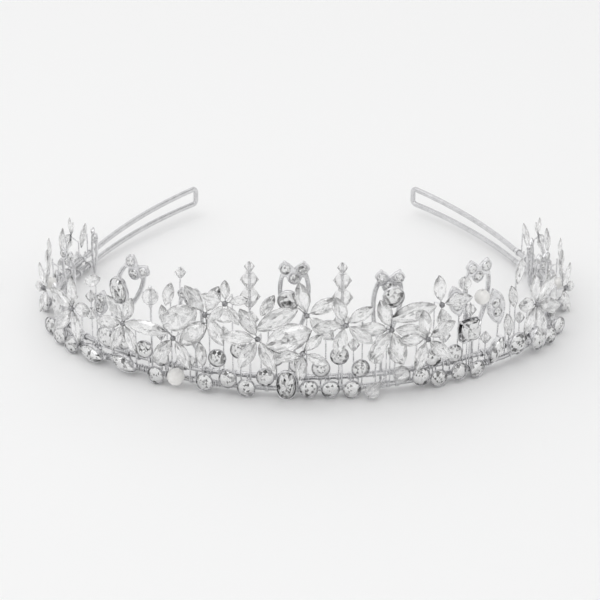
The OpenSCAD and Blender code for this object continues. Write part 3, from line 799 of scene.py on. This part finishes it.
leaf_stone_solids = solids("leaf_stones")
leaf_metal, leaf_cut = Build(65), Build(66)
for casting in solids("leaf_castings"):
    mine = sorted(stones_in(casting, leaf_stone_solids), key=lambda s: s.centre.z)
    out = seat(mine[0]).col[2].xyz
    top = Vector(casting.points[casting.points[:, 2].argmax()])
    up = top - mine[0].centre
    up = (up - out * up.dot(out)).normalized()
    length = (top - mine[0].centre).dot(up) / 0.64
    width = length * 0.5
    base = mine[0].centre - up * 0.36 * length
    back = seat(mine[0]).translation
    base += out * ((back - base).dot(out) - STONE_BACK * MM)
    place = basis(base, up.cross(out), up, out)
    shape = navette(width, length)
    edge = [shape(i / 32) for i in range(32)]
    flat = plate([edge], 1.1 * MM, 0.22 * MM)
    middle = place @ Matrix.Translation((0, length / 2, 0))
    leaf_metal.add(*flat, middle, smooth=True)
    for i in range(44):
        x, y = shape(i / 44)
        add_grain(leaf_metal, middle @ Matrix.Translation((x * 0.86, y * 0.9, 0.54 * MM)), 0.24 * MM)
    for stone in mine:
        here = seat(stone)
        collar = here @ Matrix.Translation((0, 0, (0.6 - STONE_BACK) * MM))
        add_collar(leaf_metal, collar, stone.radius(out))
        add_pave(leaf_cut, here, stone.radius(out), leaf_cut.draw.random() * TAU)
    foot = Vector(casting.points[casting.points[:, 2].argmin()])
    foot.z += 0.3 * MM
    twist(leaf_metal, [foot, place @ Vector((0, 0.8 * MM, 0))])
piece("leaf_castings_detailed", leaf_metal, ["leaf_castings"], ROOT, "cast_metal", cast_metal)
piece("leaf_cut_stones", leaf_cut, ["leaf_stones"], ROOT, "foiled_crystal", foiled_crystal, foil)


# ---------------------------------------------------------------- flowers

flower_places = [s.centre for s in solids("flower_centers")]
petal_roots = []
petal_nodes = ["petals_" + group for group in ("center", "left", "right", "left_side", "right_side")]
# Each solid is drawn as one petal. Six of the solids are two or three petals that cross.
for number, node in enumerate(petal_nodes + ["single_petals"]):
    build = Build(70 + number)
    for solid in solids(node):
        middle = min(flower_places, key=lambda p: (p - solid.centre).length)
        place = flat_seat(solid, toward=middle if node != "single_petals" else None)
        width, length, thick = (solid.size(place.col[i].xyz) for i in range(3))
        half = thick / 2
        place = place @ Matrix.Translation((0, 0, half))
        centre = solid.centre - place.translation
        place = Matrix.Translation(centre - place.col[2].xyz * centre.dot(place.col[2].xyz)) @ place
        build.add(
            *cut_stone(navette(width, length), 8, (0.5, 0.86 * half), (0.76, 0.6 * half),
                       (0.14 * half, -0.14 * half), -0.86 * half, keel=0.3),
            place,
        )
        if node != "single_petals":
            petal_roots.append((middle, place @ Vector((0, -length / 2, 0)), place.col[2].xyz.copy()))
    piece(node + "_cut", build, [node], ROOT, "petal_crystal", petal_crystal)

centers = Build(80)
for solid in solids("flower_centers"):
    out = outward(solid.centre)
    up = UP
    r = solid.size(out) / 2
    place = basis(solid.centre, up.cross(out), up, out)
    rings = [
        (0.2 * r, -0.95 * r, 0), (0.75 * r, -0.65 * r, 1), (r, 0, 0),
        (0.75 * r, 0.65 * r, 1), (0.2 * r, 0.95 * r, 0),
    ]
    centers.add(*ringed(rings, 9), place)
for middle, root, out in petal_roots:
    prong = [middle - out * 0.5 * MM, middle.lerp(root, 0.5) - out * 0.1 * MM, root]
    tube(centers, smooth_path(prong, 0.3 * MM), 0.16 * MM, 5)
piece("flower_center_beads", centers, ["flower_centers"], ROOT, "dark_metal", dark_metal)


# ---------------------------------------------------------------- beads


def add_bicone(build, solid):
    """A double cone with two rows of facets on each half, drilled through."""
    place, length = bead_seat(solid)
    r = solid.radius(place.col[2].xyz)
    half = length / 2
    bore = 0.3 * MM  # as wide as the wire, and narrower than the bore of the CAD's bead
    rings = [
        (bore, 0.0, 0), (0.4 * r, 0.0, 0), (0.72 * r, 0.55 * half, 1), (r, half, 0),
        (0.72 * r, length - 0.55 * half, 1), (0.4 * r, length, 0), (bore, length, 0),
    ]
    build.add(*ringed(rings, 8), place)


def add_round(build, solid, facets=True):
    """A round bead, faceted or smooth, drilled through."""
    place, length = bead_seat(solid)
    r = solid.radius(place.col[2].xyz)
    rows = 6 if facets else 16
    steps = 9 if facets else 28
    hole = math.asin(min(0.9, 0.3 * MM / r))
    rings = []
    blind = place.col[2].xyz.dot(outward(solid.centre)) > 0.6
    for i in range(rows + 1):
        angle = hole + (math.pi - (1.1 if blind else 2) * hole) * i / rows
        rings.append((r * math.sin(angle), length / 2 - r * math.cos(angle), i % 2 if facets else 0))
    build.add(*ringed(rings, steps), place, smooth=not facets)


def add_drop(build, solid):
    place, length = bead_seat(solid)
    r = solid.radius(place.col[2].xyz)
    bore = 0.27 * MM
    rings = [
        (bore, 0, 0), (0.55 * r, 0.04 * length, 0), (0.88 * r, 0.2 * length, 1), (r, 0.36 * length, 0),
        (0.8 * r, 0.56 * length, 1), (0.5 * r, 0.78 * length, 0), (0.3 * r, length, 1), (bore, length, 1),
    ]
    build.add(*ringed(rings, 8), place)


def beads(name, node, adder, seed, body=ROOT, slot="bead_crystal", material=bead_crystal):
    build = Build(seed)
    for solid in solids(node):
        adder(build, solid)
    piece(name, build, [node], body, slot, material)


beads("bicones_cut", "bicone_beads", add_bicone, 90)
beads("round_beads_cut", "round_beads", add_round, 91)
beads("spike_tips_cut", "spike_tip_beads", add_bicone, 92)
beads("spike_bases_cut", "spike_base_beads", add_bicone, 93)
beads("drop_cut", "drop_bead", add_drop, 94)
beads("pearls_smooth", "pearls", lambda b, s: add_round(b, s, False), 95, slot="pearl", material=pearl)
for number, node in enumerate(("left_spike_upper_bead", "left_spike_lower_bead", "right_spike_upper_bead",
                               "right_spike_lower_bead")):
    beads(node + "_cut", node, add_bicone, 96 + number, body=node)
beads("left_stem_bead_cut", "left_stem_bead", add_round, 100, body="left_stem_bead")


# ---------------------------------------------------------------- wire

lower_z = sum(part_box("lower_rail")[i].z for i in (0, 1)) / 2
upper_z = sum(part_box("upper_rail")[i].z for i in (0, 1)) / 2
rail_r = (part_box("lower_rail")[1].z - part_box("lower_rail")[0].z) / 2
STEM_OUT = 1.1 * MM
WRAP_WIRE = 0.16 * MM


def wrap(build, stem, height, turns=3):
    """Winds the tail of a stem's wire round a rail."""
    out = outward(stem)
    along = UP.cross(out)
    centre = Vector((stem.x, stem.y, height)) - out * STEM_OUT
    half = along * turns * WRAP_WIRE * 1.1
    coil(build, centre - half, centre + half, rail_r + WRAP_WIRE, WRAP_WIRE, turns, 10)


def ends(solid):
    """The two ends of a straight wire, the lower or inner one first."""
    axis = solid.axis()
    if axis.dot(UP + outward(solid.centre)) < 0:
        axis = -axis
    low, high = solid.along(axis)
    middle = solid.centre.dot(axis)
    return solid.centre + axis * (low - middle), solid.centre + axis * (high - middle)


coils = Build(110)
rings = solids("binding_coils")
while rings:
    first = rings.pop(0)
    group = [first] + [s for s in rings if (s.centre - first.centre).length < 5 * MM]
    rings = [s for s in rings if s not in group]
    across = max(((a.centre, b.centre) for a in group for b in group), key=lambda p: (p[0] - p[1]).length)
    start, end = sorted(across, key=lambda p: p.x)
    wire = first.size(first.axis()) / 2
    spare = (end - start) / (len(group) - 1) * 0.4
    coil(coils, start - spare, end + spare, first.radius(first.axis()) - wire, wire, len(group), 20)
piece("binding_coils_wound", coils, ["binding_coils"], ROOT, "fine_wire", fine_wire)

for number, node in enumerate(("cup_stems", "bead_stems")):
    build = Build(111 + number)
    for solid in solids(node):
        foot, top = ends(solid)
        if abs((top - foot).normalized().z) < 0.7:
            top = foot.lerp(top, 0.5)
        twist(build, [foot, top], phase=build.draw.random())
        wrap(build, foot, lower_z if build.draw.random() < 0.5 else upper_z)
    piece(node + "_twisted", build, [node], ROOT, "fine_wire", fine_wire)

stalks = Build(113)
for solid in solids("flower_stems"):
    foot = Vector(solid.points[solid.points[:, 2] < solid.points[:, 2].min() + 0.05 * MM].mean(0))
    end = min(flower_places, key=lambda p: min(np.linalg.norm(solid.points - np.array(p), axis=1)))
    out = outward(end)
    if solid.size(outward(solid.centre)) < 0.8 * MM:
        path = list(ends(solid))
        wrap(stalks, foot, upper_z)
    elif foot.z < upper_z:
        path = [foot, Vector((foot.x, foot.y, end.z - 1.2 * MM)), end - out * 0.8 * MM]
        wrap(stalks, foot, upper_z)
    else:
        path = [solid.centre - out * solid.size(out) / 2, end - out * 0.8 * MM]
    twist(stalks, path, phase=stalks.draw.random())
piece("flower_stems_twisted", stalks, ["flower_stems"], ROOT, "fine_wire", fine_wire)

for node in ("upper_rail", "lower_rail", "left_arm", "right_arm"):
    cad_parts[node].data.materials.clear()
    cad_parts[node].data.materials.append(silver_wire)
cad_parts["spike_stems"].data.materials.clear()
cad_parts["spike_stems"].data.materials.append(fine_wire)


# ---------------------------------------------------------------- floor, light and camera


def make_floor():
    bpy.ops.mesh.primitive_plane_add(size=6)
    floor = bpy.context.object
    floor.name = "floor"
    material, _, _, shader = new_material("pale_floor")
    shader.inputs["Base Color"].default_value = (0.93, 0.93, 0.93, 1)
    shader.inputs["Roughness"].default_value = 0.9
    shader.inputs["Specular IOR Level"].default_value = 0.1
    floor.data.materials.append(material)


def make_world():
    """An even white studio with a few darker gaps between its panels, which facets and metal pick up."""
    world = bpy.data.worlds.new("studio")
    bpy.context.scene.world = world
    world.use_nodes = True
    nodes, links = world.node_tree.nodes, world.node_tree.links
    coordinates = nodes.new("ShaderNodeTexCoord")
    pattern = nodes.new("ShaderNodeTexNoise")
    pattern.inputs["Scale"].default_value = 2.2
    pattern.inputs["Detail"].default_value = 1.0
    links.new(coordinates.outputs["Generated"], pattern.inputs["Vector"])
    tone = ramp(nodes, links, pattern.outputs["Fac"], (0.32, 0.04), (0.37, 0.45), (0.43, 1.0), (1.0, 1.1))
    links.new(tone, nodes["Background"].inputs["Color"])
    nodes["Background"].inputs["Strength"].default_value = 0.92


def make_light(name, place, target, size, power):
    light = bpy.data.lights.new(name, "AREA")
    light.shape = "SQUARE"
    light.size = size
    light.energy = power
    obj = bpy.data.objects.new(name, light)
    obj.location = place
    obj.rotation_euler = (Vector(target) - Vector(place)).to_track_quat("-Z", "Y").to_euler()
    bpy.context.scene.collection.objects.link(obj)


ELEVATION = math.radians(26.79)
DISTANCE = 0.7
TARGET = Vector((-1.4 * MM, -25.4 * MM, 15 * MM))


def make_camera():
    camera = bpy.data.objects.new("camera", bpy.data.cameras.new("camera"))
    camera.data.lens = 147.4
    camera.data.sensor_width = 36
    back = Vector((0, -math.cos(ELEVATION), math.sin(ELEVATION)))
    camera.location = TARGET + back * DISTANCE
    camera.rotation_euler = (-back).to_track_quat("-Z", "Y").to_euler()
    camera.data.clip_start = 0.05
    camera.data.clip_end = 20
    bpy.context.scene.collection.objects.link(camera)
    bpy.context.scene.camera = camera


make_floor()
make_world()
make_light("key", (-0.2, -0.1, 0.8), (0, 0, 0), 0.7, 1.0)
make_camera()
bpy.context.scene.view_settings.view_transform = "Standard"
